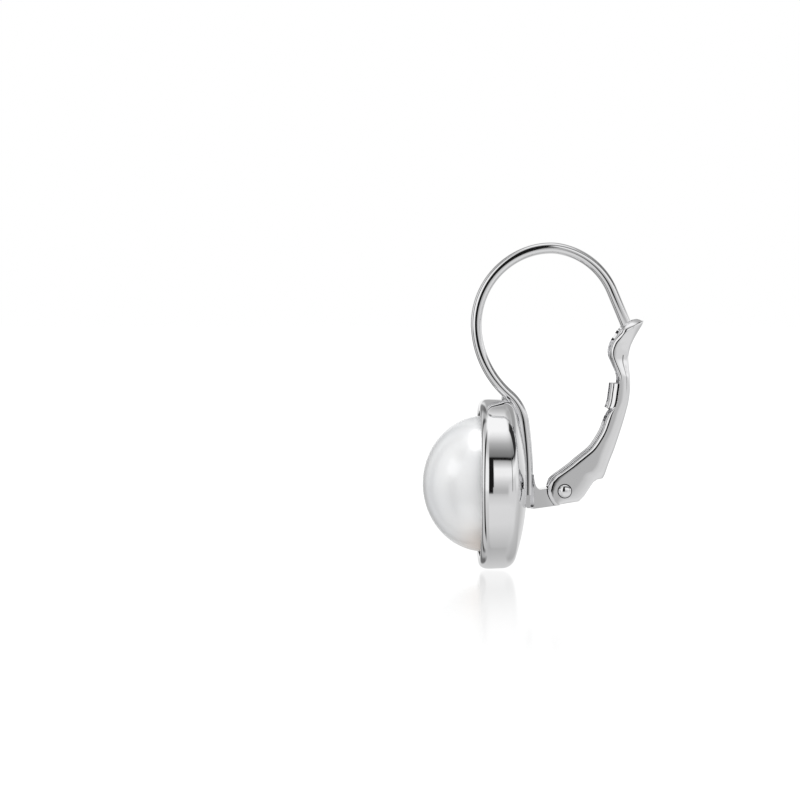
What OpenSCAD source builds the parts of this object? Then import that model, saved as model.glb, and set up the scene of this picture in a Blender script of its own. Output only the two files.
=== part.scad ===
// Leverback earring with a half pearl in a round bezel.
// +Z is up, the pearl faces -Y and the catch lever is at the back, on the +Y side.
// The origin is the lowest point of the hook's crown, where the earring hangs.
// Side outlines are drawn as [y, z] points and stand in the plane x = 0.

/* [Hook wire] */
// Thickness of the oval wire, seen from the side
wire_t = 0.8; // [0.6:0.05:1]
// Width of the oval wire, seen from the front
wire_w = 1.05; // [0.8:0.05:1.3]
// Radius of the hook's front bow, at the middle of the wire
bow_r = 5.5; // [4.8:0.1:6.2]
// Radius of the hook's bend behind the crown
back_bow_r = 5.1; // [4.4:0.1:5.6]
// Length of the straight end that drops into the catch
tip_l = 3.05; // [2.6:0.1:3.6]
// Angle by which the wire leans forward above the bezel
neck_lean = 49; // [40:1:56]
// Radius of the bend over the back edge of the bezel
s_bend_r = 3.25; // [2:0.1:3.5]
// Radius of the nearly straight shank along the back of the bezel
shank_r = 32; // [20:1:60]

/* [Bezel] */
// Outer diameter of the bezel
bezel_d = 12.35; // [10:0.1:14]
// Length of the bezel's straight band
band_l = 1.46; // [1.2:0.02:2.4]
// Thickness of the bezel's wall
bezel_wall = 0.45; // [0.35:0.05:0.6]
// Radius of the rounded front lip
lip_r = 0.26; // [0.15:0.01:0.35]
// Width of the lip's face, which slopes in to the pearl
lip_w = 0.87; // [0.7:0.01:1.1]
// Depth by which the lip's face slopes in
lip_slope = 0.12; // [0.05:0.01:0.2]
// Radius of the domed back
dome_r = 17.5; // [13:0.5:30]
// Rounding between the band and the domed back
heel_r = 1; // [0.5:0.05:1.2]
// Width of the ledge that the pearl sits on
ledge_w = 0.6; // [0.4:0.1:1]

/* [Half pearl] */
// Clearance between the pearl and the bezel's wall
pearl_gap = 0.37; // [0.2:0.01:0.5]
// Height of the pearl's dome above its widest section
pearl_dome_h = 4.5; // [3.5:0.1:5.5]
// Depth at which the pearl's widest section lies below the rim
pearl_sink = 0.5; // [0.3:0.05:0.8]
// Depth of the pearl's straight base
pearl_base_h = 1.4; // [0.9:0.1:1.6]
// Bevel around the foot of the pearl's base
pearl_edge = 0.15; // [0.05:0.05:0.3]
// Clearance under the pearl
seat_gap = 0.05; // [0.02:0.01:0.1]

/* [Hinge] */
// Distance of the rivet behind the shank's back
lug_l = 2.18; // [1.8:0.05:2.8]
// Height of the rivet below the bezel's axis
rivet_drop = 0.44; // [0:0.02:0.8]
// Height of the lug
lug_h = 1.34; // [1.1:0.02:1.6]
// Distance of the lug's middle below the rivet
lug_drop = 0.36; // [0.2:0.02:0.5]
// Radius of the lug's end about the rivet
lug_end_r = 0.8; // [0.65:0.01:0.9]
// Slope of the lug's top and bottom edges
lug_tilt = 8; // [0:1:12]
// Clearance on each side of the lug
lug_gap = 0.15; // [0.08:0.01:0.25]
// Diameter of the rivet's shaft
rivet_d = 0.6; // [0.5:0.02:0.7]
// Diameter of the rivet's domed heads
rivet_head_d = 0.98; // [0.86:0.02:1.2]
// Height of the rivet's domed heads
rivet_head_h = 0.24; // [0.15:0.01:0.35]
// Radial clearance of the rivet in the lug
rivet_play = 0.03; // [0.02:0.01:0.06]
// Clearance of the rivet at the lever's ears
rivet_seat = 0.015; // [0.01:0.005:0.03]

/* [Lever] */
// Width of the lever
lever_w = 2.3; // [2:0.05:2.8]
// Thickness of the lever's sheet
sheet_t = 0.3; // [0.24:0.01:0.36]
// Height of the lip above the end of the hook's wire
lip_rise = 0.72; // [0.5:0.01:0.9]
// Distance of the lip's tip behind the end of the hook's wire
lip_reach = 1.1; // [0.95:0.01:1.4]
// Radius of the lever's ears about the rivet
ear_r = 1.21; // [1:0.01:1.4]
// Distance of the ears' bottom edge below the rivet
ear_drop = 0.92; // [0.8:0.01:1.1]
// Width of the folded tabs, measured from the lever's side
tab_w = 0.7; // [0.4:0.05:0.9]
// Radius of the rounded corners of the lip, seen from behind
lip_corner_r = 0.9; // [0.4:0.05:1]
// Clearance on each side of the hook's wire where it drops through the lip
wire_play = 0.1; // [0.06:0.01:0.15]

/* [Hidden] */
$fn = 48;
arc_step = 6;
wire_sides = 16;

// Turns of the hook: the front bow in three stretches, then the bend over the bezel and the shank
bow_turns = [[0.94, 20], [1, 74.5], [1.26, 44.5]];
// Turns of the hook behind its crown, as shares of the back bow's radius
back_turns = [[0.67, 10], [1, 57]];
// Share of the bezel's radius that the shank runs over
shank_share = 0.72;
// Height of the wire's middle above the dome's surface, where they are soldered
solder_lift = 0.09;
// Height of the solder ridge above the bezel and its outline from its foot, as shares of that: [out, up]
ridge_h = 1;
ridge_points = [[-0.6, -0.2], [-0.52, 0.24], [-1.2, 1], [-0.6, 0.8], [0.3, -0.1], [0.1, -0.3]];
// Reach and rise of the fillet between the lug's top edge and the shank
fillet = [0.45, 1.07];
// Distance that the lug's root sinks into the wall of the dome, and its foot stands off it
lug_root = 0.3;
lug_foot = 0.05;
// Angles between which the ears' end is an arc about the rivet, and the slope of their bottom edge
ear_arc = [165, 215];
ear_slope = 9.5;

// Walks along bends that touch each other. A bend is [radius, turn], a positive turn is to the left.
// Each step gives [point, heading, radius, turn], with the point and heading at its start.
function heading(a) = [cos(a), sin(a)];
function past_bend(p, a, r, turn) =
    let (c = p + sign(turn) * r * heading(a + 90))
    c - sign(turn) * r * heading(a + turn + 90);
function walk(p, a, bends, i = 0) =
    i == len(bends)
        ? [[p, a, 0, 0]]
        : concat(
            [[p, a, bends[i][0], bends[i][1]]],
            walk(past_bend(p, a, bends[i][0], bends[i][1]), a + bends[i][1], bends, i + 1));

// Points on an arc about c from angle a to angle b
function arc(c, r, a, b) =
    let (n = max(2, ceil(abs(b - a) / arc_step)))
    [for (i = [0:n]) c + r * heading(a + (b - a) * i / n)];
// A smooth curve through points, with n pieces between two of them
function curve_point(p, q, r, s, t) =
    0.5 * (2 * q + (r - p) * t + (2 * p - 5 * q + 4 * r - s) * t * t + (3 * q - p - 3 * r + s) * t * t * t);
function curve(points, n = 4) =
    let (last = len(points) - 1)
    [for (i = [0:last - 1], k = [0:n - 1])
        curve_point(points[max(0, i - 1)], points[i], points[i + 1], points[min(last, i + 2)], k / n),
     points[last]];
// A line moved to its left by d
function moved_left(points, d) =
    let (last = len(points) - 1)
    [for (i = [0:last])
        let (t = points[min(last, i + 1)] - points[max(0, i - 1)])
        points[i] + d * [-t[1], t[0]] / norm(t)];
function scaled(points, sy, sz) = [for (p = points) [p[0] * sy, p[1] * sz]];
function placed(points, at) = [for (p = points) p + at];

// Places along the hook
crown = [0, wire_t / 2];
shank_turn = asin(shank_share * bezel_d / 2 / shank_r);
front_bends = concat(
    [for (b = bow_turns) [b[0] * bow_r, b[1]]],
    [[s_bend_r, shank_turn - neck_lean], [shank_r, -shank_turn]]);
front_walk = walk(crown, 180, front_bends);
back_walk = walk(crown, 0, [for (b = back_turns) [b[0] * back_bow_r, -b[1]]]);
front_stations = stations(front_walk);
shank_end = front_walk[len(front_walk) - 1][0];
tip_start = back_walk[len(back_walk) - 1];
tip = tip_start[0] + tip_l * heading(tip_start[1]);

// Stations of the hook's wire: [middle, heading, size], from the rounded tip to the shank's foot
function stations(steps) = [for (i = [0:len(steps) - 2])
    let (b = steps[i], n = ceil(abs(b[3]) / arc_step))
    for (k = [0:n - 1])
        let (turn = b[3] * k / n)
        [turn == 0 ? b[0] : past_bend(b[0], b[1], b[2], turn), b[1] + turn, 1]];
function reversed(list) = [for (i = [len(list) - 1:-1:0]) list[i]];
tip_round = wire_t / 2;
tip_rings = [[0, 0.35], [0.1, 0.66], [0.35, 0.88], [1, 1]];
hook_path = concat(
    [for (t = tip_rings) [tip - t[0] * tip_round * heading(tip_start[1]), tip_start[1] + 180, t[1]]],
    [[tip_start[0], tip_start[1] + 180, 1]],
    [for (s = reversed(stations(back_walk))) [s[0], s[1] + 180, 1]],
    [for (i = [1:len(front_stations) - 1]) front_stations[i]],
    [[shank_end, 270, 1], [shank_end + [0, -wire_t], 270, 1]]);

// Places along the bezel's axis, which the shank crosses where it is upright
axis_z = shank_end[1];
dome_y = shank_end[0] - solder_lift;
bezel_r = bezel_d / 2;
heel_turn = asin((bezel_r - heel_r) / (dome_r - heel_r));
band_back = dome_r - (dome_r - heel_r) * cos(heel_turn);
rim = band_back + band_l + lip_r;
lip_in = bezel_r - lip_w;
pearl_r = lip_in - pearl_gap;
pearl_base = rim - pearl_sink - pearl_base_h;
shank_y = shank_end[0] + wire_t / 2;
ridge_y = front_walk[3][0][0];
ridge_w = 0.57 * wire_w;

// Places of the hinge and the lever
rivet = [shank_y + lug_l, axis_z - rivet_drop];
lug_w = lever_w - 2 * sheet_t - 2 * lug_gap;
lever_reach = tip[0] + lip_reach - rivet[0];
lever_h = tip[1] + lip_rise - rivet[1];

// Points of the lever's outline from the rivet, as shares of its reach and height: [out, up]
spine_points = [[0.485, 0.071], [0.628, 0.235], [0.771, 0.446], [0.833, 0.622], [0.812, 0.776],
    [0.868, 0.88], [0.988, 0.96], [1, 0.977]];
lip_points = [[0.959, 0.994], [0.914, 1], [0.822, 0.984], [0.716, 0.943]];
scoop_points = [[0.625, 0.888], [0.574, 0.814], [0.601, 0.758], [0.663, 0.695], [0.68, 0.645]];
tab_points = [[0.612, 0.629], [0.559, 0.455]];
front_points = [[0.456, 0.354], [0.319, 0.243], [0.147, 0.175], [-0.017, 0.118], [-0.128, 0.09],
    [-0.205, 0.075], [-0.218, 0.061]];
heel_points = [[0.212, -0.046], [0.408, 0.067]];

spine = curve(scaled(spine_points, lever_reach, lever_h));
ear_end = arc([0, 0], ear_r, ear_arc[0], ear_arc[1]);
function ear_bottom(y) = [y, y * tan(ear_slope) - ear_drop / cos(ear_slope)];
lever_side = concat(
    spine,
    curve(scaled(concat(lip_points, scoop_points), lever_reach, lever_h)),
    curve(scaled(concat(tab_points, front_points), lever_reach, lever_h)),
    ear_end,
    [ear_bottom(-0.6 * ear_r), ear_bottom(0.85 * ear_r)],
    scaled(heel_points, lever_reach, lever_h));

// Stands a shape that is drawn as [y, z, x] in the side plane
module in_side_plane() {
    rotate([90, 0, 90]) children();
}

// A plate with a side outline, centred on the earring's middle plane
module side_plate(points, width) {
    in_side_plane() translate([0, 0, -width / 2]) linear_extrude(width) polygon(points);
}

// Turns an outline of [radius, distance from the dome's top] about the bezel's axis
module about_bezel_axis(points) {
    translate([0, dome_y, axis_z]) rotate([90, 0, 0]) rotate_extrude($fn = 96) polygon(points);
}

// The hook, from its tip in the catch over the crown and down the bezel's back: one oval
// section set at each station of the path, with a rounded end in the catch
module hook_wire() {
    rings = len(hook_path);
    corners = [for (s = hook_path, k = [0:wire_sides - 1])
        let (a = 360 * k / wire_sides, side = heading(s[1] + 90))
        [s[2] * wire_w / 2 * sin(a), s[0][0] + s[2] * wire_t / 2 * cos(a) * side[0],
         s[0][1] + s[2] * wire_t / 2 * cos(a) * side[1]]];
    walls = [for (i = [0:rings - 2], k = [0:wire_sides - 1])
        let (m = (k + 1) % wire_sides)
        [i * wire_sides + k, (i + 1) * wire_sides + k, (i + 1) * wire_sides + m, i * wire_sides + m]];
    start_cap = [for (k = [0:wire_sides - 1]) k];
    end_cap = [for (k = [wire_sides - 1:-1:0]) (rings - 1) * wire_sides + k];
    polyhedron(corners, concat([start_cap], walls, [end_cap]), convexity = 8);
}

// The closed-back cup: domed back, straight band, rounded lip and a ledge for the pearl
module bezel_cup() {
    dome_c = [0, dome_r];
    inner_r = dome_r - bezel_wall;
    well_r = bezel_r - bezel_wall - ledge_w;
    about_bezel_axis(concat(
        arc(dome_c, dome_r, -90, heel_turn - 90),
        arc([bezel_r - heel_r, band_back], heel_r, heel_turn - 90, 0),
        arc([bezel_r - lip_r, rim - lip_r], lip_r, 0, 100),
        [[lip_in, rim - lip_slope],
         [lip_in, pearl_base - seat_gap],
         [well_r, pearl_base - seat_gap]],
        arc(dome_c, inner_r, asin(well_r / inner_r) - 90, -90)));
}

// The small solder ridge in front of the wire, on top of the bezel
module solder_ridge() {
    side_plate(placed(ridge_h * ridge_points, [ridge_y, axis_z + bezel_r]), ridge_w);
}

// The lug that carries the rivet, with its fillet up to the shank and its foot on the dome
module lug() {
    mid = rivet + [0, -lug_drop];
    function edge(out, side) = mid + [out, side * lug_h / 2 + out * tan(lug_tilt)];
    top = edge(fillet[0] - lug_l, 1);
    low = edge(lug_foot - lug_l, -1);
    difference() {
        union() {
            side_plate(concat(
                [edge(0, 1)],
                curve([top, top + [-0.7 * fillet[0], 0.4 * fillet[1]], top + [-fillet[0], fillet[1]]]),
                [[shank_y - wire_t / 2, top[1] + fillet[1]],
                 [dome_y - lug_root, top[1]],
                 [dome_y - lug_root, low[1] + lug_root],
                 [dome_y + lug_foot, low[1]],
                 low,
                 edge(-0.75 * lug_end_r, -1),
                 rivet + [0, -lug_end_r],
                 rivet]), lug_w);
            in_side_plane() translate([rivet[0], rivet[1], -lug_w / 2]) cylinder(h = lug_w, r = lug_end_r);
        }
        in_side_plane() translate([rivet[0], rivet[1], -lug_w])
            cylinder(h = 2 * lug_w, r = rivet_d / 2 + rivet_play);
    }
}

module bezel_with_hook() {
    color("silver") {
        hook_wire();
        bezel_cup();
        solder_ridge();
        lug();
    }
}

// Half pearl: an oval dome over a short straight base
module half_pearl() {
    dome = [for (a = [0:arc_step:90]) [pearl_r * cos(a), rim - pearl_sink + pearl_dome_h * sin(a)]];
    color("whitesmoke") about_bezel_axis(concat(
        [[0, pearl_base], [pearl_r - pearl_edge, pearl_base], [pearl_r, pearl_base + pearl_edge]], dome));
}

// The lever's outline seen from behind, inset on all sides and with a round top, as a thick block
module back_outline(inset) {
    half = lever_w / 2 - inset;
    top = rivet[1] + lever_h - inset;
    corner_r = lip_corner_r - inset;
    corner = arc([half - corner_r, top - corner_r], corner_r, 0, 90);
    translate([0, rivet[0] + 2 * lever_reach, 0]) rotate([90, 0, 0]) linear_extrude(4 * lever_reach)
        polygon(concat(corner, [for (p = reversed(corner)) [-p[0], p[1]]],
            [[-half, rivet[1] - 2 * ear_r], [half, rivet[1] - 2 * ear_r]]));
}

// The catch lever: a channel of bent sheet with ears at the rivet and a scoop for the hook's end,
// where the wire drops through the lip into the channel
module catch_lever() {
    inner = moved_left(spine, sheet_t);
    heel_y = inner[0][0] + 0.7 * sheet_t;
    open_side = placed(concat(
        [[heel_y, inner[0][1] - 3 * sheet_t]], inner,
        [inner[len(inner) - 1] + [0, ear_r], [-2 * ear_r, lever_h + ear_r], [-2 * ear_r, -2 * ear_r],
         [heel_y, -2 * ear_r]]), rivet);
    tab_front = placed(scaled(tab_points, lever_reach, lever_h), rivet);
    tab_side = concat(tab_front, [for (p = reversed(tab_front)) p + [sheet_t, 0]]);
    color("silver") {
        difference() {
            intersection() {
                side_plate(placed(lever_side, rivet), lever_w);
                back_outline(0);
            }
            intersection() {
                side_plate(open_side, lever_w);
                back_outline(sheet_t);
            }
            side_plate(open_side, wire_w + 2 * wire_play);
            in_side_plane() translate([rivet[0], rivet[1], -lever_w])
                cylinder(h = 2 * lever_w, r = rivet_d / 2 + rivet_seat);
        }
        in_side_plane() for (inner_edge = [tab_w - lever_w / 2, lever_w / 2])
            translate([0, 0, inner_edge - tab_w]) linear_extrude(tab_w) polygon(tab_side);
    }
}

// The rivet: a shaft with a domed head at each side of the lever
module hinge_rivet() {
    face = lever_w / 2 + rivet_seat;
    head = [for (a = [0:15:90]) [rivet_head_d / 2 * cos(a), face + rivet_head_h * sin(a)]];
    tail = [for (i = [len(head) - 1:-1:0]) [head[i][0], -head[i][1]]];
    color("silver") translate([0, rivet[0], rivet[1]]) rotate([0, 90, 0]) rotate_extrude($fn = 48)
        polygon(concat(tail, [[rivet_d / 2, -face], [rivet_d / 2, face]], head));
}

bezel_with_hook();
half_pearl();
catch_lever();
hinge_rivet();
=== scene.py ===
import math

import bpy
from mathutils import Matrix, Vector


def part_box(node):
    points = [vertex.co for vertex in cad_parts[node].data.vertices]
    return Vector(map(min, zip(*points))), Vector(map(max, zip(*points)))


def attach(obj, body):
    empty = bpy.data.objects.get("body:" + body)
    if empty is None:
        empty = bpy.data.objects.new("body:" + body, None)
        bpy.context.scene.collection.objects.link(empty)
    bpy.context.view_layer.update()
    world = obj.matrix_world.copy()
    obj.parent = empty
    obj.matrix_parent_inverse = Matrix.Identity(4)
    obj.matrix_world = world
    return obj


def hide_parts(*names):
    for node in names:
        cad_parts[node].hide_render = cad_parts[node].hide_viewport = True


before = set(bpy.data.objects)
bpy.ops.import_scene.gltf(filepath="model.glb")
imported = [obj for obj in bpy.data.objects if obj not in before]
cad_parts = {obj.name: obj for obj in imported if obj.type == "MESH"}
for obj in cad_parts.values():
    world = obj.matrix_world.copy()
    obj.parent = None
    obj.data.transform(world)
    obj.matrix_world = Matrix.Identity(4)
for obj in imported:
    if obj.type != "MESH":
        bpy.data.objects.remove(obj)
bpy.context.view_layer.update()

# The bezel is a round cup of sterling silver: a domed back soldered to a straight band, with a rounded
# front lip whose face slopes in to the pearl. It is turned here as a ring that is extruded and resized
# from the middle of the back, over the heel, the band and the lip, down to the ledge under the pearl.
mm = 0.001
# X runs across the earring, Y from the pearl to the back and Z up, in metres. Angles are in degrees.
# Vertices nearer to each other than this are one.
same_place = 0.0001 * mm
low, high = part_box("bezel_with_hook")
bezel_r = high.x
axis_z = low.z + bezel_r
pearl_low, pearl_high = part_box("half_pearl")
ledge_y = pearl_high.y
pearl_sink = 0.5 * mm
pearl_base_h = 1.4 * mm
rim_y = ledge_y - pearl_base_h - pearl_sink
dome_r = 17.5 * mm
heel_r = 1.0 * mm
band_l = 1.46 * mm
lip_r = 0.26 * mm
lip_w = 0.87 * mm
lip_slope = 0.12 * mm
# The band narrows a little to the back. At the front it turns in to the lip over ever smaller arcs: each
# one's radius, and the angle that it starts at.
band_taper = 1.3
turn_in = [(2.4 * mm, -band_taper), (0.7 * mm, 6), (0.45 * mm, 35), (0, 100)]
front_l = sum(r * (math.sin(math.radians(min(90, b))) - math.sin(math.radians(a)))
              for (r, a), (_, b) in zip(turn_in, turn_in[1:]))
# A ring this far from an edge keeps the edge's shading off the flat face beside it
edge_support = 0.04 * mm
# Degrees from one ring to the next on the dome and the heel, and how many rings each arc of the lip has
dome_step = 1.5
dome_pole = 1
heel_step = 4
turn_in_rings = 8
bezel_sides = 192
back_r = bezel_r - band_l * math.tan(math.radians(band_taper))
heel_turn = math.degrees(math.asin((back_r - heel_r) / (dome_r - heel_r)))
band_back = dome_r - (dome_r - heel_r) * math.cos(math.radians(heel_turn))
dome_y = rim_y + band_back + band_l + lip_r


def arc(middle, radius, first, last, step):
    """Points on an arc about a middle, from a first angle to a last one, in degrees."""
    count = max(2, round(abs(last - first) / step))
    angles = [math.radians(first + (last - first) * i / count) for i in range(count + 1)]
    return [(middle[0] + radius * math.cos(a), middle[1] + radius * math.sin(a)) for a in angles]


def added(name):
    """Names the primitive that was just added, sets its place in its mesh and opens it, all selected."""
    piece = bpy.context.object
    piece.name = name
    piece.data.name = name
    bpy.ops.object.transform_apply(location=True, rotation=True, scale=True)
    bpy.ops.object.mode_set(mode="EDIT")
    bpy.ops.mesh.select_mode(type="VERT")
    bpy.ops.mesh.select_all(action="SELECT")
    return piece


def select(piece, wanted):
    """Selects the vertices whose place passes a test, and what lies between them."""
    bpy.ops.mesh.select_all(action="DESELECT")
    bpy.ops.object.mode_set(mode="OBJECT")
    for v in piece.data.vertices:
        v.select = wanted(v.co)
    bpy.ops.object.mode_set(mode="EDIT")


def closed_end():
    """Closes the selected ring with faces that meet in its middle."""
    bpy.ops.mesh.extrude_region_move()
    bpy.ops.mesh.merge(type="CENTER")


def finished(piece, sharp_angle):
    """Merges doubles, turns the faces outwards and smooths all but the sharp edges."""
    bpy.ops.mesh.select_all(action="SELECT")
    bpy.ops.mesh.remove_doubles(threshold=same_place)
    bpy.ops.mesh.normals_make_consistent(inside=False)
    bpy.ops.object.mode_set(mode="OBJECT")
    bpy.ops.object.shade_smooth_by_angle(angle=math.radians(sharp_angle))
    return piece


def turned(name, profile, middle_z, sides):
    """A closed shape turned about a front-to-back axis from a profile of [radius, y]."""
    bpy.ops.object.select_all(action="DESELECT")
    bpy.ops.mesh.primitive_circle_add(vertices=sides, radius=profile[0][0], fill_type="NOTHING",
                                      location=(0, profile[0][1], middle_z), rotation=(math.pi / 2, 0, 0))
    piece = added(name)
    for (radius, y), (next_radius, next_y) in zip(profile, profile[1:]):
        size = next_radius / radius
        bpy.ops.mesh.extrude_region_move(TRANSFORM_OT_translate={"value": (0, next_y - y, 0)})
        bpy.ops.transform.resize(value=(size, 1, size), center_override=(0, next_y, middle_z))
    closed_end()
    first_r, first_y = profile[0]
    select(piece, lambda p: abs(p.y - first_y) < same_place
           and math.hypot(p.x, p.z - middle_z) < first_r + same_place)
    closed_end()
    return finished(piece, sharp_angle=35)


def node(tree, kind, settings=(), inputs=()):
    """Adds a shader node, with its settings and with input values or links."""
    new = tree.nodes.new(kind)
    for name, value in dict(settings).items():
        setattr(new, name, value)
    for name, value in dict(inputs).items():
        if isinstance(value, bpy.types.NodeSocket):
            tree.links.new(value, new.inputs[name])
        else:
            new.inputs[name].default_value = value
    return new


def colour(code):
    """A linear colour from an sRGB hex value."""
    channels = [int(code[i:i + 2], 16) / 255 for i in (0, 2, 4)]
    return [c / 12.92 if c <= 0.04045 else ((c + 0.055) / 1.055) ** 2.4 for c in channels] + [1]


# The buff leaves 0.9 patches of haze and 0.35 ripples to the millimetre. A dark ring of painted shade goes
# around the rivet's heads, for the shadow in the gap under their rims
haze_per_mm = 0.9
ripples_per_mm = 0.35
ripple_h = 0.02 * mm
rivet_low, rivet_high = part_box("hinge_rivet")
rivet = ((rivet_low.y + rivet_high.y) / 2, (rivet_low.z + rivet_high.z) / 2)
gap_shade_r = 0.49 * mm
gap_shade_w = 0.07 * mm


def polished_silver():
    """Rhodium-plated sterling silver, buffed to a mirror: cool white, with a faint haze and ripple, so that
    what it mirrors is sharp but never quite straight."""
    material = bpy.data.materials.new("polished_silver")
    material.use_nodes = True
    tree = material.node_tree
    shader = tree.nodes["Principled BSDF"]
    place = node(tree, "ShaderNodeTexCoord").outputs["Object"]
    haze = node(tree, "ShaderNodeTexNoise", {}, {
        "Vector": place, "Scale": haze_per_mm / mm, "Detail": 4})
    rough = node(tree, "ShaderNodeMapRange", {}, {
        "Value": haze.outputs["Fac"], "To Min": 0.03, "To Max": 0.07})
    ripple = node(tree, "ShaderNodeTexNoise", {}, {
        "Vector": place, "Scale": ripples_per_mm / mm, "Detail": 1})
    bump = node(tree, "ShaderNodeBump", {}, {
        "Height": ripple.outputs["Fac"], "Strength": 0.04, "Distance": ripple_h})
    # Painted shade: a thin dark ring at one distance from the rivet's axis, where the gap under the heads is
    # in shadow
    apart = node(tree, "ShaderNodeVectorMath", {"operation": "SUBTRACT"}, {0: place, 1: (0, *rivet)})
    flat = node(tree, "ShaderNodeVectorMath", {"operation": "MULTIPLY"}, {
        0: apart.outputs[0], 1: (0, 1, 1)})
    out = node(tree, "ShaderNodeVectorMath", {"operation": "LENGTH"}, {0: flat.outputs[0]})
    line = node(tree, "ShaderNodeMath", {"operation": "COMPARE"}, {
        0: out.outputs["Value"], 1: gap_shade_r, 2: gap_shade_w / 2})
    tint = node(tree, "ShaderNodeMix", {"data_type": "RGBA"}, {
        "Factor": line.outputs[0], "A": colour("F5F5F6"), "B": colour("3A3A3C")})
    tree.links.new(tint.outputs["Result"], shader.inputs["Base Color"])
    shader.inputs["Metallic"].default_value = 1
    tree.links.new(rough.outputs["Result"], shader.inputs["Roughness"])
    tree.links.new(bump.outputs["Normal"], shader.inputs["Normal"])
    return material


silver = polished_silver()


def dressed(piece, body, replaced, material):
    """Gives a piece its material and the body that it moves with, and hides the part that it stands for."""
    piece.data.materials.clear()
    piece.data.materials.append(material)
    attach(piece, body)
    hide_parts(replaced)


dome = arc((0, dome_y - dome_r), dome_r, 90 - dome_pole, 90 - heel_turn, dome_step)
heel = arc((back_r - heel_r, dome_y - band_back), heel_r, 90 - heel_turn, band_taper, heel_step)
bezel_lip = []
middle = (bezel_r - turn_in[0][0], rim_y + front_l)
for (radius, first), (next_radius, last) in zip(turn_in, turn_in[1:]):
    step = max(1, (last - first) / turn_in_rings)
    bezel_lip += arc(middle, radius, -first, -last, step)[bool(bezel_lip):]
    middle = (middle[0] + (radius - next_radius) * math.cos(math.radians(last)),
              middle[1] - (radius - next_radius) * math.sin(math.radians(last)))
(heel_end_r, heel_end_y), (lip_start_r, lip_start_y) = heel[-1], bezel_lip[0]
share = edge_support / (heel_end_y - lip_start_y)
band = [(heel_end_r + share * (lip_start_r - heel_end_r), heel_end_y - edge_support),
        (lip_start_r - share * (lip_start_r - heel_end_r), lip_start_y + edge_support)]
lip_in = bezel_r - lip_w
cup = [(lip_in + edge_support, rim_y + lip_slope - edge_support / 4),
       (lip_in, rim_y + lip_slope + edge_support / 2),
       (lip_in, ledge_y - edge_support),
       (lip_in - edge_support, ledge_y)]
bezel = turned("bezel", dome + heel[1:] + band + bezel_lip + cup, axis_z, bezel_sides)
dressed(bezel, "earring", "bezel_with_hook", silver)

# The half pearl is a mabe pearl: an oval dome of nacre, cut flat at its back and set in the cup.
# It starts as a sphere, flattened to the dome's height and cut at its widest, and its base is pulled back.
pearl_r = pearl_high.x
pearl_wide_y = rim_y + pearl_sink
pearl_edge = 0.15 * mm
# The nacre has 0.22 clouds to the millimetre, and low down near the bezel it gets a warm, darker painted
# shade
clouds_per_mm = 0.22
low_shade_below = 1.5 * mm
low_shade_reach = 2.2 * mm


def nacre():
    """White pearl nacre, polished by nature: a soft sheen under a thin clear layer, with faint warm and cool
    clouds, a warm painted shade low down by the bezel, and painted shade where it turns away."""
    material = bpy.data.materials.new("nacre")
    material.use_nodes = True
    tree = material.node_tree
    shader = tree.nodes["Principled BSDF"]
    place = node(tree, "ShaderNodeTexCoord").outputs["Object"]
    clouds = node(tree, "ShaderNodeTexNoise", {}, {
        "Vector": place, "Scale": clouds_per_mm / mm, "Detail": 3})
    tint = node(tree, "ShaderNodeMix", {"data_type": "RGBA"}, {
        "Factor": clouds.outputs["Fac"], "A": colour("E3E6EA"), "B": colour("E9E8E6")})
    # Painted shade: warmer and darker low down, towards the bezel
    apart = node(tree, "ShaderNodeSeparateXYZ", {}, {0: place})
    down = node(tree, "ShaderNodeMapRange", {"interpolation_type": "SMOOTHSTEP"}, {
        "Value": apart.outputs["Z"], "From Min": axis_z - low_shade_below, "From Max": axis_z - pearl_r})
    inward = node(tree, "ShaderNodeMapRange", {"interpolation_type": "SMOOTHSTEP"}, {
        "Value": apart.outputs["Y"], "From Min": rim_y - low_shade_reach, "From Max": rim_y})
    low_shade = node(tree, "ShaderNodeMath", {"operation": "MULTIPLY"}, {
        0: down.outputs["Result"], 1: inward.outputs["Result"]})
    low_shaded = node(tree, "ShaderNodeMix", {"data_type": "RGBA"}, {
        "Factor": low_shade.outputs[0], "A": tint.outputs["Result"], "B": colour("DCCFC4")})
    # Painted shade: the colour goes grey where the surface turns away from the view
    edge = node(tree, "ShaderNodeLayerWeight", {}, {"Blend": 0.5})
    turned_away = node(tree, "ShaderNodeMapRange", {"interpolation_type": "SMOOTHSTEP"}, {
        "Value": edge.outputs["Facing"], "From Min": 0.5, "From Max": 1.0, "To Max": 0.24})
    sheen = node(tree, "ShaderNodeMix", {"data_type": "RGBA"}, {
        "Factor": turned_away.outputs["Result"], "A": low_shaded.outputs["Result"], "B": colour("A6AAAE")})
    tree.links.new(sheen.outputs["Result"], shader.inputs["Base Color"])
    shader.inputs["Roughness"].default_value = 0.33
    shader.inputs["IOR"].default_value = 1.68
    shader.inputs["Specular IOR Level"].default_value = 1
    shader.inputs["Coat Weight"].default_value = 1
    shader.inputs["Coat Roughness"].default_value = 0.2
    return material


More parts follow.
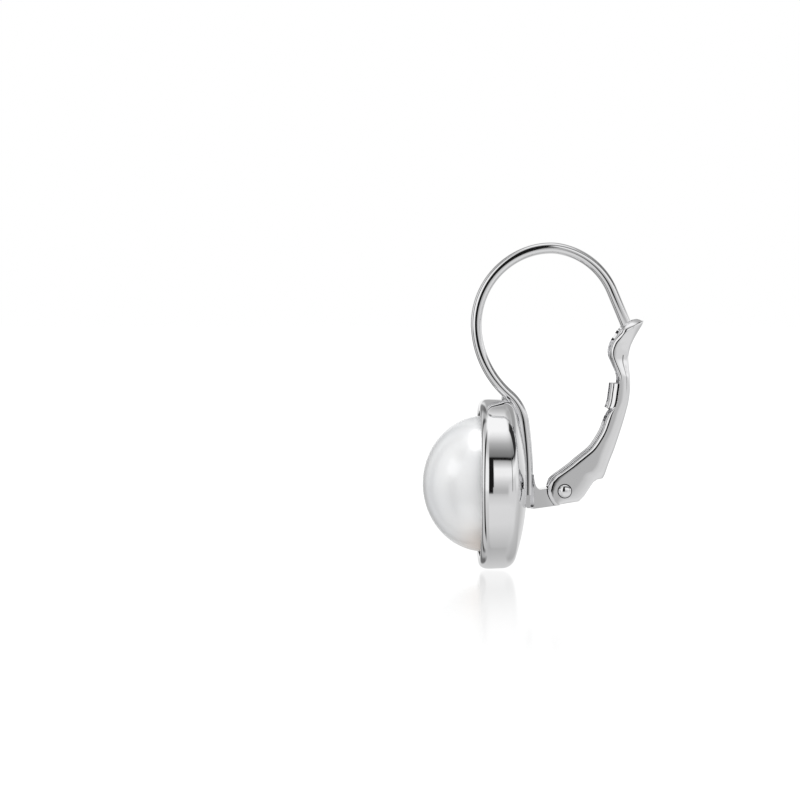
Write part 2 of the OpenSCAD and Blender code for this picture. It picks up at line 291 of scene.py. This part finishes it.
bpy.ops.object.select_all(action="DESELECT")
bpy.ops.mesh.primitive_uv_sphere_add(segments=128, ring_count=96, radius=pearl_r,
                                     location=(0, pearl_wide_y, axis_z), rotation=(math.pi / 2, 0, 0))
pearl = added("pearl")
bpy.ops.transform.resize(value=(1, (pearl_wide_y - pearl_low.y) / pearl_r, 1),
                         center_override=(0, pearl_wide_y, axis_z))
bpy.ops.mesh.bisect(plane_co=(0, pearl_wide_y, axis_z), plane_no=(0, 1, 0), clear_outer=True)
select(pearl, lambda p: p.y > pearl_wide_y - same_place)
base_depth = pearl_high.y - pearl_edge - pearl_wide_y
bpy.ops.mesh.extrude_region_move(TRANSFORM_OT_translate={"value": (0, base_depth, 0)})
bpy.ops.mesh.extrude_region_move(TRANSFORM_OT_translate={"value": (0, pearl_edge, 0)})
base_size = 1 - pearl_edge / pearl_r
bpy.ops.transform.resize(value=(base_size, 1, base_size), center_override=(0, pearl_high.y, axis_z))
closed_end()
finished(pearl, sharp_angle=35)
dressed(pearl, "earring", "half_pearl", nacre())

# The ear hook is oval silver wire, drawn and then bent round formers: a bow over the lobe, a bend over
# the bezel's edge and a shank that is soldered down its back. One oval ring is spun through each bend
# from the crown, first forward and down to the shank's foot, then back to the end that the lever catches.
wire_t = high.z
wire_w = 1.05 * mm
bow_r = 5.5 * mm
back_bow_r = 5.1 * mm
tip_l = 3.05 * mm
shank_r = 32 * mm
shank_share = 0.72
shank_turn = math.degrees(math.asin(shank_share * bezel_r / shank_r))
# Each bend has a radius and the degrees that it turns by
front_bends = [(0.94 * bow_r, 20), (bow_r, 74.5), (1.26 * bow_r, 44.5), (3.25 * mm, shank_turn - 49),
               (shank_r, -shank_turn)]
back_bends = [(0.67 * back_bow_r, -10), (back_bow_r, -57)]
bend_step = 1.25
# Rolling has flattened the wire's sides: 2 would be an oval, more is nearer to a square
flatness = 2.7
# Bending has left a slight twist on both sides of the crown, in degrees, over a few parts of the first bend
twist = 3
twist_parts = 4
# The rounded end: how far each ring is from it, as a share of half the wire, and its size
tip_rings = [(0.5, 0.96), (0.3, 0.8), (0.13, 0.5)]


def ahead(angle):
    """The direction [y, z] of a heading in the side plane."""
    return math.cos(math.radians(angle)), math.sin(math.radians(angle))


def spun_bends(place, heading, bends, twisted=0):
    """Spins the selected ring through bends that touch each other, twisting it on the way, and gives the
    last place and heading. With no window, spin turns the other way, as rotate does."""
    parts = twist_parts if twisted else 1
    for radius, turn in [(radius, turn / parts) for radius, turn in bends for _ in range(parts)]:
        side = math.copysign(1, turn)
        out_y, out_z = ahead(heading + 90)
        middle = (place[0] + side * radius * out_y, place[1] + side * radius * out_z)
        steps = max(2, round(abs(turn) / bend_step))
        bpy.ops.mesh.spin(steps=steps, angle=-math.radians(turn), dupli=False, use_auto_merge=False,
                          center=(0, *middle), axis=(1, 0, 0))
        heading += turn
        out_y, out_z = ahead(heading + 90)
        place = (middle[0] - side * radius * out_y, middle[1] - side * radius * out_z)
        if twisted:
            bpy.ops.object.mode_set(mode="OBJECT")
            at = Vector((0, *place))
            turned_by = Matrix.Rotation(math.radians(twisted / parts), 3, Vector((0, *ahead(heading))))
            for v in bpy.context.object.data.vertices:
                if v.select:
                    v.co = at + turned_by @ (v.co - at)
            bpy.ops.object.mode_set(mode="EDIT")
    return place, heading


bpy.ops.object.select_all(action="DESELECT")
bpy.ops.mesh.primitive_circle_add(vertices=96, radius=wire_t / 2, fill_type="NOTHING",
                                  location=(0, 0, wire_t / 2), rotation=(math.pi / 2, 0, 0))
hook = added("ear_hook")
bpy.ops.object.mode_set(mode="OBJECT")
for v in hook.data.vertices:
    across, up = v.co.x / (wire_t / 2), (v.co.z - wire_t / 2) / (wire_t / 2)
    v.co.x = wire_w / 2 * math.copysign(abs(across) ** (2 / flatness), across)
    v.co.z = wire_t / 2 * (1 + math.copysign(abs(up) ** (2 / flatness), up))
bpy.ops.object.mode_set(mode="EDIT")
shank_end, heading = spun_bends((0, wire_t / 2), 180, front_bends[:1], twist)
shank_end, heading = spun_bends(shank_end, heading, front_bends[1:])
bpy.ops.mesh.extrude_region_move(TRANSFORM_OT_translate={"value": (0, 0, -wire_t)})
closed_end()
select(hook, lambda p: abs(p.y) < same_place and p.z > -mm)
tip_start, heading = spun_bends((0, wire_t / 2), 0, back_bends[:1], twist)
tip_start, heading = spun_bends(tip_start, heading, back_bends[1:])
way_y, way_z = ahead(heading)
straight_l = tip_l - wire_t / 2
reached, last_size = 0, 1
for distance, size in [(1, 1)] + tip_rings:
    step = straight_l + wire_t / 2 * (1 - distance) - reached
    reached += step
    bpy.ops.mesh.extrude_region_move(TRANSFORM_OT_translate={"value": (0, step * way_y, step * way_z)})
    middle = (0, tip_start[0] + reached * way_y, tip_start[1] + reached * way_z)
    bpy.ops.transform.resize(value=(size / last_size,) * 3, center_override=middle)
    last_size = size
closed_end()
finished(hook, sharp_angle=40)
dressed(hook, "earring", "bezel_with_hook", silver)

# The hinge lug is a small plate of silver, sawn to shape and soldered on edge to the shank's foot, with
# a fillet of solder above it. Its outline is drawn point by point in the side plane, filled and given
# its width, and its edges are rounded as filing leaves them.
lever_low, lever_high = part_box("catch_lever")
lever_w = lever_high.x - lever_low.x
sheet_t = 0.3 * mm
lug_play = 0.3 * mm
lug_w = lever_w - 2 * sheet_t - lug_play
shank_y = shank_end[0] + wire_t / 2
lug_l = rivet[0] - shank_y
lug_h = 1.34 * mm
lug_drop = 0.36 * mm
lug_mid = (rivet[0], rivet[1] - lug_drop)
lug_slope = math.tan(math.radians(8))
lug_root = 0.3 * mm
lug_foot = 0.05 * mm
lug_end = 0.3 * mm
fillet_reach = 0.45 * mm
fillet_rise = 1.07 * mm
fillet_step = 10


def drawn(name, points, width):
    """A plate in the side plane: its outline is drawn as [y, z] points, filled and given its width."""
    bpy.ops.object.select_all(action="DESELECT")
    bpy.ops.mesh.primitive_plane_add(size=mm, location=(-width / 2, points[0][0], points[0][1]))
    piece = added(name)
    bpy.ops.mesh.merge(type="CENTER")
    for (y, z), (next_y, next_z) in zip(points, points[1:]):
        bpy.ops.mesh.extrude_vertices_move(TRANSFORM_OT_translate={"value": (0, next_y - y, next_z - z)})
    bpy.ops.mesh.select_all(action="SELECT")
    bpy.ops.mesh.edge_face_add()
    bpy.ops.mesh.extrude_region_move(TRANSFORM_OT_translate={"value": (width, 0, 0)})
    return piece


def rounded(piece, width, segments, sharp_angle):
    """Rounds the edges that are sharper than an angle."""
    bevel = piece.modifiers.new("rounded", "BEVEL")
    bevel.width = width
    bevel.segments = segments
    bevel.limit_method = "ANGLE"
    bevel.angle_limit = math.radians(sharp_angle)
    bevel.harden_normals = True
    bpy.context.view_layer.objects.active = piece
    bpy.ops.object.modifier_apply(modifier=bevel.name)


def lug_edge(out, side):
    """A point on the lug's upper or lower edge, at a distance behind the rivet."""
    return (lug_mid[0] + out, lug_mid[1] + side * lug_h / 2 + out * lug_slope)


lug_top = lug_edge(fillet_reach - lug_l, 1)
lug_low = lug_edge(lug_foot - lug_l, -1)
fillet = [(lug_top[0] + fillet_reach * y, lug_top[1] + fillet_rise * (1 + z))
          for y, z in arc((0, 0), 1, 270, 180, fillet_step)]
lug_outline = [lug_edge(0, 1)] + fillet + [
    (shank_y - wire_t / 2, fillet[-1][1]),
    (dome_y - lug_root, lug_top[1]),
    (dome_y - lug_root, lug_low[1] + lug_root),
    (dome_y + lug_foot, lug_low[1]),
    lug_low,
    lug_edge(-lug_end, -1)]
lug = drawn("hinge_lug", lug_outline, lug_w)
# The plate is cut into a grid by shares of its height and length. Under the wire it is filed narrower, just
# in front of the shank's face, and from there its sides lean in a little towards the upper free corner.
lug_cuts_up = (0.2, 0.4, 0.6, 0.8, 1.0)
lug_cuts_out = (-0.2, 0, 0.2, 0.4, 0.6, 0.8)
waist_cuts = (0.05 * mm, 0.25 * mm)
waist_y = shank_y - sum(waist_cuts) / 2
waist_share = 0.6
lug_lean = 0.2
for share in lug_cuts_up:
    bpy.ops.mesh.select_all(action="SELECT")
    bpy.ops.mesh.bisect(plane_co=(0, 0, lug_low[1] + lug_h * share), plane_no=(0, 0, 1))
for y in [lug_top[0] + lug_l * share for share in lug_cuts_out] + [shank_y - cut for cut in waist_cuts]:
    bpy.ops.mesh.select_all(action="SELECT")
    bpy.ops.mesh.bisect(plane_co=(0, y, 0), plane_no=(0, 1, 0))
bpy.ops.object.mode_set(mode="OBJECT")
for v in lug.data.vertices:
    outwards = max(0, min(1, (v.co.y - lug_top[0]) / lug_l - lug_cuts_out[0]))
    up = (v.co.z - lug_low[1]) / lug_h
    v.co.x *= waist_share if v.co.y < waist_y else 1 - lug_lean * outwards * up
bpy.ops.object.mode_set(mode="EDIT")
finished(lug, sharp_angle=30)
rounded(lug, width=0.06 * mm, segments=3, sharp_angle=40)
dressed(lug, "earring", "bezel_with_hook", silver)

# The solder ridge is a thin fin of silver in front of the wire, left where the solder ran up between the
# wire and the bezel's edge. It is drawn as a plate, with its outline in mm from its foot on the band.
ridge_foot = (-3.008 * mm, axis_z + bezel_r)
ridge_shape = [(-0.6, -0.2), (-0.52, 0.24), (-1.2, 1), (-0.6, 0.8), (0.3, -0.1), (0.1, -0.3)]
ridge_outline = [(ridge_foot[0] + y * mm, ridge_foot[1] + z * mm) for y, z in ridge_shape]
ridge_w = 0.57 * wire_w
ridge = drawn("solder_ridge", ridge_outline, ridge_w)
finished(ridge, sharp_angle=30)
rounded(ridge, width=0.08 * mm, segments=3, sharp_angle=20)
dressed(ridge, "earring", "bezel_with_hook", silver)

# The catch lever is stamped from silver sheet and folded: a channel with a rounded back, two ears at the
# rivet, tabs curled in from its walls, and a lip drawn out to a spoon that takes the hook's end. A grid
# is laid out row by row from the ears to the lip, the tabs are extruded and the sheet gets its thickness.
half_w = lever_w / 2
# The fold between back and walls, in mm: how far it reaches in from the wall and how deep, which is never
# more than a share of the wall
fold_reach = 0.45
fold_depth = 1.0
fold_most = 0.85
# Each row has its back and its front point from the rivet, in mm. The ears' rows have only walls.
ear_rows = [
    # back y, back z, front y, front z
    (-0.45, -1.00, -0.725, -1.05),
    (0.10, -0.90, -1.00, -0.66),
    (0.60, -0.82, -1.17, -0.25),
    (1.014, -0.75, -1.20, 0.10),
    (1.20, -0.57, -1.12, 0.43),
    (1.42, -0.35, -1.00, 0.74),
    (1.74, 0.15, -0.66, 1.06),
    (2.05, 0.62, -0.094, 1.45),
    (2.31, 0.83, 0.464, 1.87)]
# Their front edges curl in by this much, and their walls reach back to where a small fold would start
ear_curl = 0.28
ear_fold_reach = 0.12
# The channel's rows also have the depth of the curl along their front edges, and the pinch, which is the
# share of the width that their back loses
channel_rows = [
    # back y, back z, front y, front z, curl, pinch
    (2.75, 0.88, 0.83, 2.20, 0.30, 0.0),
    (2.92, 1.18, 1.30, 2.58, 0.30, 0.0),
    (3.217, 2.044, 1.90, 3.10, 0.30, 0.0),
    (3.558, 2.914, 2.37, 3.78, 0.30, 0.0),
    (3.848, 3.784, 2.70, 4.40, 0.30, 0.0),
    (4.123, 4.653, 2.95, 5.117, 0.30, 0.0),
    (4.30, 5.25, 3.20, 5.60, 0.20, 0.0),
    (4.47, 5.90, 3.57, 6.00, 0.03, 0.0),
    (4.587, 6.392, 3.73, 6.45, 0.03, 0.0),
    (4.68, 7.05, 3.81, 7.00, 0.03, 0.0),
    (4.72, 7.75, 3.90, 7.755, 0.03, 0.02),
    (4.70, 8.25, 3.862, 8.31, 0.20, 0.08),
    (4.65, 8.75, 3.72, 8.70, 0.26, 0.18),
    (4.61, 9.25, 3.42, 9.36, 0.36, 0.28),
    (4.60, 9.70, 3.275, 9.75, 0.42, 0.31),
    (4.66, 10.09, 3.25, 10.20, 0.44, 0.28),
    (4.754, 10.472, 3.40, 10.70, 0.44, 0.20)]
# A curl goes in by a share of its depth and ends in a straight hem, which shrinks where the back is pinched
curl_share = 0.6
hem_share = 0.45
hem_least = 0.15
full_pinch = 0.28
# The lip's rows go on from these along the spoon: the fold at its rim, the roll and the rim itself. Each is
# given at a few stations, which are columns of the grid counted from the near rim to the middle.
lip_stations = (0, 8, 13, 21, 23)
lip_rows = [
    # x, y, z in mm from the rivet at each station
    ((0.86, 3.86, 11.48), (1.15, 4.17, 11.4), (1.06, 4.8, 11.7), (0.58, 5.42, 11.98), (0.0, 5.68, 12.05)),
    ((0.86, 3.94, 11.58), (1.08, 4.18, 11.66), (0.92, 4.74, 12.0), (0.46, 5.34, 12.24), (0.0, 5.59, 12.27)),
    ((0.85, 4.01, 11.66), (0.87, 4.22, 11.87), (0.64, 4.66, 12.18), (0.3, 5.1, 12.36), (0.0, 5.3, 12.38))]
# The grid: the rows from one given row to the next, in the channel and in the lip, and the columns of the
# curl, the wall and the fold
row_parts = 5
lip_parts = (10, 4, 4)
curl_columns = 8
wall_columns = 5
fold_columns = 8


def smooth(points, parts):
    """Points with more between them, on smooth curves through the given ones. A point lists its numbers."""
    result = []
    for i in range(len(points) - 1):
        p, q = points[max(0, i - 1)], points[i]
        r, s = points[i + 1], points[min(len(points) - 1, i + 2)]
        for k in range(parts[i]):
            t = k / parts[i]
            result.append([0.5 * (2 * b + (c - a) * t + (2 * a - 5 * b + 4 * c - d) * t * t
                                  + (3 * b - a - 3 * c + d) * t ** 3) for a, b, c, d in zip(p, q, r, s)])
    return result + [list(points[-1])]


def from_rivet(x, y, z):
    """A place from one in mm from the rivet."""
    return [x * mm, rivet[0] + y * mm, rivet[1] + z * mm]


def section(row, fold_in):
    """Places across the channel at one row, from the near wall's rim round the back to the middle."""
    back_y, back_z, front_y, front_z, curl, pinch = row
    wall_x = half_w / mm
    depth = math.hypot(front_y - back_y, front_z - back_z)
    way = ((front_y - back_y) / depth, (front_z - back_z) / depth)
    fold_l = min(fold_depth, fold_most * (depth - curl))
    hem = curl * hem_share * max(hem_least, 1 - pinch / full_pinch)
    curl_in = curl * curl_share
    rim = [(wall_x - curl_in - hem, depth)]
    rim += [(wall_x - curl_in * (1 - x), depth - curl * (1 - d))
            for x, d in arc((0, 0), 1, 90, 0, 90 / (curl_columns - 1))]
    fold = [(wall_x - fold_in * (1 - x), fold_l * (1 + d))
            for x, d in arc((0, 0), 1, 0, -90, 90 / fold_columns)]
    wall_l = fold[0][1] - rim[-1][1]
    wall = [(wall_x, rim[-1][1] + wall_l * i / wall_columns) for i in range(1, wall_columns)]
    across = rim + wall + fold + [((wall_x - fold_in) / 2, 0), (0, 0)]
    across = [(x * (1 - pinch * (1 - d / depth)), d) for x, d in across]
    return [from_rivet(x, back_y + d * way[0], back_z + d * way[1]) for x, d in across]


channel = [section(row, fold_reach) for row in smooth(channel_rows, [row_parts] * (len(channel_rows) - 1))]
half_columns = len(channel[0])
columns = 2 * half_columns - 1
wall_end = curl_columns + wall_columns + fold_columns
station_parts = [b - a for a, b in zip(lip_stations, lip_stations[1:])]
spoon = []
for row in lip_rows:
    near_half = [from_rivet(*point) for point in row]
    far_half = [from_rivet(-x, y, z) for x, y, z in reversed(row[:-1])]
    spoon.append(smooth(near_half + far_half, station_parts + station_parts[::-1]))
# The curves into the lip start a row early, so that they leave the channel in its direction
threads = [smooth([channel[-1 - row_parts][k], channel[-1][k]] + [row[k] for row in spoon], (1, *lip_parts))
           for k in range(half_columns)]
lip_sections = [[thread[i] for thread in threads] for i in range(2, len(threads[0]))]
ears = [section(row + (ear_curl, 0), ear_fold_reach) for row in ear_rows]
all_sections = ears + channel + lip_sections
bpy.ops.object.select_all(action="DESELECT")
bpy.ops.mesh.primitive_grid_add(x_subdivisions=columns - 1, y_subdivisions=len(all_sections) - 1, size=1)
lever = added("catch_lever")
bpy.ops.mesh.select_all(action="DESELECT")
bpy.ops.object.mode_set(mode="OBJECT")
for i, points in enumerate(all_sections):
    whole = points + [(-x, y, z) for x, y, z in reversed(points[:-1])]
    for k, place in enumerate(whole):
        vertex = lever.data.vertices[i * columns + k]
        vertex.co = place
        vertex.select = i < len(ear_rows) and wall_end < k < columns - 1 - wall_end
bpy.ops.object.mode_set(mode="EDIT")
bpy.ops.mesh.delete(type="VERT")


def lies_on(place, places):
    """Whether a place is one of some places."""
    return any(math.dist(place, other) < same_place for other in places)


# The tabs curl in from the walls' front edges, forward first, and end in a short straight hem
tab_rows = (7, 10)
tab_in = 0.48 * mm
tab_out = 0.58 * mm
tab_hem = 0.15 * mm
tab_steps = 12
tab_rims = [channel[i][0] for i in range(tab_rows[0] * row_parts, tab_rows[1] * row_parts + 1)]
for side in (1, -1):
    select(lever, lambda p: lies_on((side * p.x, p.y, p.z), tab_rims))
    for i in range(tab_steps):
        a, b = math.pi / 2 * i / tab_steps, math.pi / 2 * (i + 1) / tab_steps
        in_x = -side * tab_in * (math.cos(a) - math.cos(b))
        forward = -tab_out * (math.sin(b) - math.sin(a))
        bpy.ops.mesh.extrude_region_move(TRANSFORM_OT_translate={"value": (in_x, forward, 0)})
    bpy.ops.mesh.extrude_region_move(TRANSFORM_OT_translate={"value": (-side * tab_hem, 0, 0)})

finished(lever, sharp_angle=40)
thick = lever.modifiers.new("sheet", "SOLIDIFY")
thick.thickness = sheet_t
thick.offset = -1
bpy.context.view_layer.objects.active = lever
bpy.ops.object.modifier_apply(modifier=thick.name)
# The rims of the long curls are tumbled rounder than the other edges, between these heights above the rivet
curls_from, curls_to = 0.3 * mm, 4.9 * mm
rim_round = 0.11 * mm
edge_round = 0.12 * mm
curl_rims = [points[0] for points in all_sections if curls_from < points[0][2] - rivet[1] < curls_to]
bpy.ops.object.mode_set(mode="EDIT")
bpy.ops.mesh.select_mode(type="VERT")
select(lever, lambda p: lies_on((abs(p.x), p.y, p.z), curl_rims))
bpy.ops.mesh.bevel(offset=rim_round, segments=4, affect="EDGES", clamp_overlap=False)
bpy.ops.object.mode_set(mode="OBJECT")
rounded(lever, width=edge_round, segments=4, sharp_angle=50)
bpy.ops.object.shade_smooth_by_angle(angle=math.radians(40))
dressed(lever, "lever", "catch_lever", silver)

# The rivet is a silver pin through the ears and the lug, its two ends hammered to low domes. Each half is a
# flattened half ball that stands just off the ear, with the pin extruded from its flat side to the middle.
rivet_seat = 0.015 * mm
pin_r = 0.3 * mm
head_r = (rivet_high.z - rivet_low.z) / 2
pin_size = pin_r / head_r
face_x = half_w + rivet_seat
head_h = rivet_high.x - face_x
for side in (1, -1):
    face_middle = (side * face_x, *rivet)
    bpy.ops.object.select_all(action="DESELECT")
    bpy.ops.mesh.primitive_uv_sphere_add(segments=48, ring_count=24, radius=head_r, location=face_middle,
                                         rotation=(0, math.pi / 2, 0))
    head = added("hinge_rivet_near" if side == 1 else "hinge_rivet_far")
    bpy.ops.transform.resize(value=(head_h / head_r, 1, 1), center_override=face_middle)
    bpy.ops.mesh.bisect(plane_co=face_middle, plane_no=(side, 0, 0), clear_inner=True)
    select(head, lambda p: abs(p.x - side * face_x) < same_place)
    bpy.ops.mesh.extrude_region_move()
    bpy.ops.transform.resize(value=(1, pin_size, pin_size), center_override=face_middle)
    bpy.ops.mesh.extrude_region_move(TRANSFORM_OT_translate={"value": (-side * face_x, 0, 0)})
    closed_end()
    finished(head, sharp_angle=40)
    dressed(head, "lever", "hinge_rivet", silver)

# The floor is a sheet of white acrylic just under the bezel, lit from below, so that it has no edge and no
# shadow. It mirrors the earring softly, less and less towards the outer of two distances. The silver mirrors
# the lower half of the studio in its place.
floor_gap = 0.1 * mm
gloss_share = 0.4
gloss_fades = (10 * mm, 50 * mm)
bpy.ops.object.select_all(action="DESELECT")
bpy.ops.mesh.primitive_plane_add(size=2, location=(0, 0, low.z - floor_gap))
floor = bpy.context.object
floor.name = "floor"
acrylic = bpy.data.materials.new("white_acrylic")
acrylic.use_nodes = True
sheet = acrylic.node_tree
sheet.nodes.clear()
glow = node(sheet, "ShaderNodeEmission", {}, {"Color": colour("FFFFFF"), "Strength": 1.13})
gloss = node(sheet, "ShaderNodeBsdfGlossy", {}, {"Color": colour("FFFFFF"), "Roughness": 0.16})
spot = node(sheet, "ShaderNodeTexCoord").outputs["Object"]
away = node(sheet, "ShaderNodeVectorMath", {"operation": "LENGTH"}, {0: spot})
fade = node(sheet, "ShaderNodeMapRange", {}, {
    "Value": away.outputs["Value"], "From Min": gloss_fades[0], "From Max": gloss_fades[1],
    "To Min": gloss_share, "To Max": 0})
both = node(sheet, "ShaderNodeMixShader", {}, {
    "Fac": fade.outputs["Result"], 1: glow.outputs[0], 2: gloss.outputs[0]})
node(sheet, "ShaderNodeOutputMaterial", {}, {"Surface": both.outputs[0]})
floor.data.materials.append(acrylic)
floor.visible_glossy = False

# The studio is a tent of white cloth, which the silver mirrors. The camera sees plain white in its place.
# On the camera's side hangs a lit panel with a dark seam over it, and all around plainer cloth, with dark
# slits between its lengths. All greys go by two angles: the height and the direction, from the earring.
world = bpy.data.worlds.new("studio")
bpy.context.scene.world = world
world.use_nodes = True
tent = world.node_tree
tent.nodes.clear()


def angle_ramp(y_value, x_value, stops):
    """Greys by the angle of a direction in degrees, from stops of [angle, grey]."""
    bearing = node(tent, "ShaderNodeMath", {"operation": "ARCTAN2"}, {0: y_value, 1: x_value})
    turn = node(tent, "ShaderNodeMapRange", {}, {
        "Value": bearing.outputs[0], "From Min": -math.pi, "From Max": math.pi})
    greys = node(tent, "ShaderNodeValToRGB", {}, {"Fac": turn.outputs["Result"]})
    while len(greys.color_ramp.elements) < len(stops):
        greys.color_ramp.elements.new(0.5)
    for stop, (angle, grey) in zip(greys.color_ramp.elements, stops):
        stop.position = (angle + 180) / 360
        stop.color = (grey, grey, grey, 1)
    return greys.outputs["Color"]


def mixed(kind, factor, a, b):
    """A colour mixed from two, each a link or a grey."""
    both = node(tent, "ShaderNodeMix", {"data_type": "RGBA", "blend_type": kind})
    for socket, value in zip((both.inputs["Factor"], both.inputs["A"], both.inputs["B"]), (factor, a, b)):
        if isinstance(value, bpy.types.NodeSocket):
            tent.links.new(value, socket)
        elif socket.name == "Factor":
            socket.default_value = value
        else:
            socket.default_value = (value, value, value, 1)
    return both.outputs["Result"]


looking = node(tent, "ShaderNodeTexCoord").outputs["Generated"]
looking_parts = node(tent, "ShaderNodeSeparateXYZ", {}, {0: looking})
look_x, look_y, look_z = (looking_parts.outputs[axis] for axis in "XYZ")


def level_run(share):
    """How far a direction goes along the floor, counting a share of its way to the front or back."""
    level = node(tent, "ShaderNodeVectorMath", {"operation": "MULTIPLY"}, {0: looking, 1: (1, share, 0)})
    length = node(tent, "ShaderNodeVectorMath", {"operation": "LENGTH"}, {0: level.outputs[0]})
    return length.outputs["Value"]


run = level_run(1)
# The panel is nearly flat, so that its seam looks lower towards its two ends
panel_run = level_run(0.57)
# Greys by height, from straight down over level at 0 to straight up
panel = angle_ramp(look_z, panel_run, [
    (-90, 0.5), (-50, 0.72), (-25, 0.74), (-13, 0.65), (-8, 0.55), (-7, 0.47), (-2, 0.48), (8, 0.69),
    (17, 0.93), (25, 0.93), (36, 0.4), (37.6, 0), (40.4, 0), (41.5, 0.18), (50, 0.27), (60, 0.45),
    (73, 0.85), (80, 1)])
around = angle_ramp(look_z, run, [
    (-90, 0.45), (-50, 0.6), (-20, 0.66), (-6, 0.75), (-2, 0.95), (12, 0.95), (30, 0.92), (45, 0.6),
    (60, 0.6), (75, 1), (90, 1)])
# Greys by direction: 0 is towards the camera, -90 before the pearl and 90 behind the bezel
lengths = angle_ramp(look_y, look_x, [
    (-180, 1), (-166, 1), (-160, 0.25), (-150, 0.25), (-142, 0.7), (-132, 0.7), (-126, 0.12), (-119, 0.12),
    (-112, 0.9), (-82, 1), (-78, 0.03), (-61, 0.03), (-58, 1), (80, 1), (125, 0.8), (150, 0.7), (164, 1),
    (180, 1)])
overhead = angle_ramp(look_z, run, [(-70, 1), (-50, 0), (50, 0), (75, 1)])
around = mixed("MULTIPLY", 1, around, mixed("MIX", overhead, lengths, 1))
on_panel = angle_ramp(look_y, look_x, [(-20, 0), (-14, 1), (80, 1), (105, 0)])
cloth = mixed("MIX", on_panel, around, panel)
# Patches over the cloth: the directions and the heights where each starts, is full, is still full and ends,
# and its grey
patches = [
    ((15, 34, 78, 90), (-24, -14, 4, 8), 0.68),
    ((-18, -15, 2, 3.6), (-7.6, -6.8, 2, 3), 0.01),
    ((-18, -15, 4.8, 6), (0, 1, 38, 40), 0.01),
    ((55, 57, 60, 62), (-6, -4, 30, 34), 0.1),
    ((106, 112, 160, 170), (12, 20, 38, 42), 0.35),
    ((84, 88, 112, 118), (16, 19, 60, 66), 0.03),
    ((150, 165, -174, -164), (14, 17, 50, 60), 0.42)]
for directions, heights, grey in patches:
    wide_stops = list(zip(directions, (0, 1, 1, 0)))
    if directions[0] > directions[-1]:
        # This patch lies across the direction where 180 becomes -180
        wide_stops = [(-180, 1)] + wide_stops[2:] + wide_stops[:2] + [(180, 1)]
    wide = angle_ramp(look_y, look_x, wide_stops)
    high = angle_ramp(look_z, run, list(zip(heights, (0, 1, 1, 0))))
    cloth = mixed("MIX", mixed("MULTIPLY", 1, wide, high), cloth, grey)
seen = node(tent, "ShaderNodeLightPath")
backdrop = node(tent, "ShaderNodeBackground", {}, {
    "Color": mixed("MIX", seen.outputs["Is Camera Ray"], cloth, 1), "Strength": 1})
node(tent, "ShaderNodeOutputWorld", {}, {"Surface": backdrop.outputs[0]})

# Three soft lights reach the pearl alone, so that the silver shows only the tent: a box overhead, one at the
# left, and the light that comes back from the white floor. Only the pearl and the bezel stand in their way.
pearl_only = bpy.data.collections.new("lit_by_soft_boxes")
pearl_only.objects.link(pearl)
in_the_way = bpy.data.collections.new("shades_the_pearl")
in_the_way.objects.link(pearl)
in_the_way.objects.link(bezel)
soft_boxes = [
    # name, direction and height from the pearl, width, glow
    ("soft_box_overhead", -15, 84, 180 * mm, 4.2),
    ("soft_box_left", -72, 22, 105 * mm, 1.8),
    ("soft_box_low", -45, -50, 200 * mm, 0.75)]
box_distance = 250 * mm
for name, direction, height, width, box_glow in soft_boxes:
    turn, rise = math.radians(direction), math.radians(height)
    to_box = (math.cos(rise) * math.cos(turn), math.cos(rise) * math.sin(turn), math.sin(rise))
    box_at = [p + box_distance * d for p, d in zip((0, pearl_wide_y, axis_z), to_box)]
    bpy.ops.object.light_add(type="AREA", location=box_at, rotation=(0, math.pi / 2 - rise, turn))
    box = bpy.context.object
    box.name = name
    box.data.size = width
    box.data.energy = box_glow * math.pi * width ** 2
    box.light_linking.receiver_collection = pearl_only
    box.light_linking.blocker_collection = in_the_way

# The camera looks at the earring's side from a little in front and above, as the photograph does. It is
# turned so that the middle of the earring comes to the photograph's place and size, in pixels.
picture_px = 800
px_per_mm = 13.8
aim_px = (530.3, 405.6)
aim = (0, -1.5 * mm, -11 * mm)
distance = 130 * mm
azimuth, elevation = math.radians(86), math.radians(3.5)
to_camera = (math.cos(elevation) * math.sin(azimuth),
             -math.cos(elevation) * math.cos(azimuth),
             math.sin(elevation))
focal_px = px_per_mm * distance / mm
pan = math.atan((aim_px[0] - picture_px / 2) / focal_px)
tilt = math.atan((aim_px[1] - picture_px / 2) / focal_px)
bpy.ops.object.camera_add(location=[a + distance * d for a, d in zip(aim, to_camera)],
                          rotation=(math.pi / 2 - elevation + tilt, 0, azimuth + pan))
camera = bpy.context.object
camera.name = "camera"
camera.data.sensor_width = 36
camera.data.lens = focal_px * math.cos(pan) / picture_px * camera.data.sensor_width
camera.data.clip_start = mm
bpy.context.scene.camera = camera
bpy.context.scene.view_settings.view_transform = "Standard"
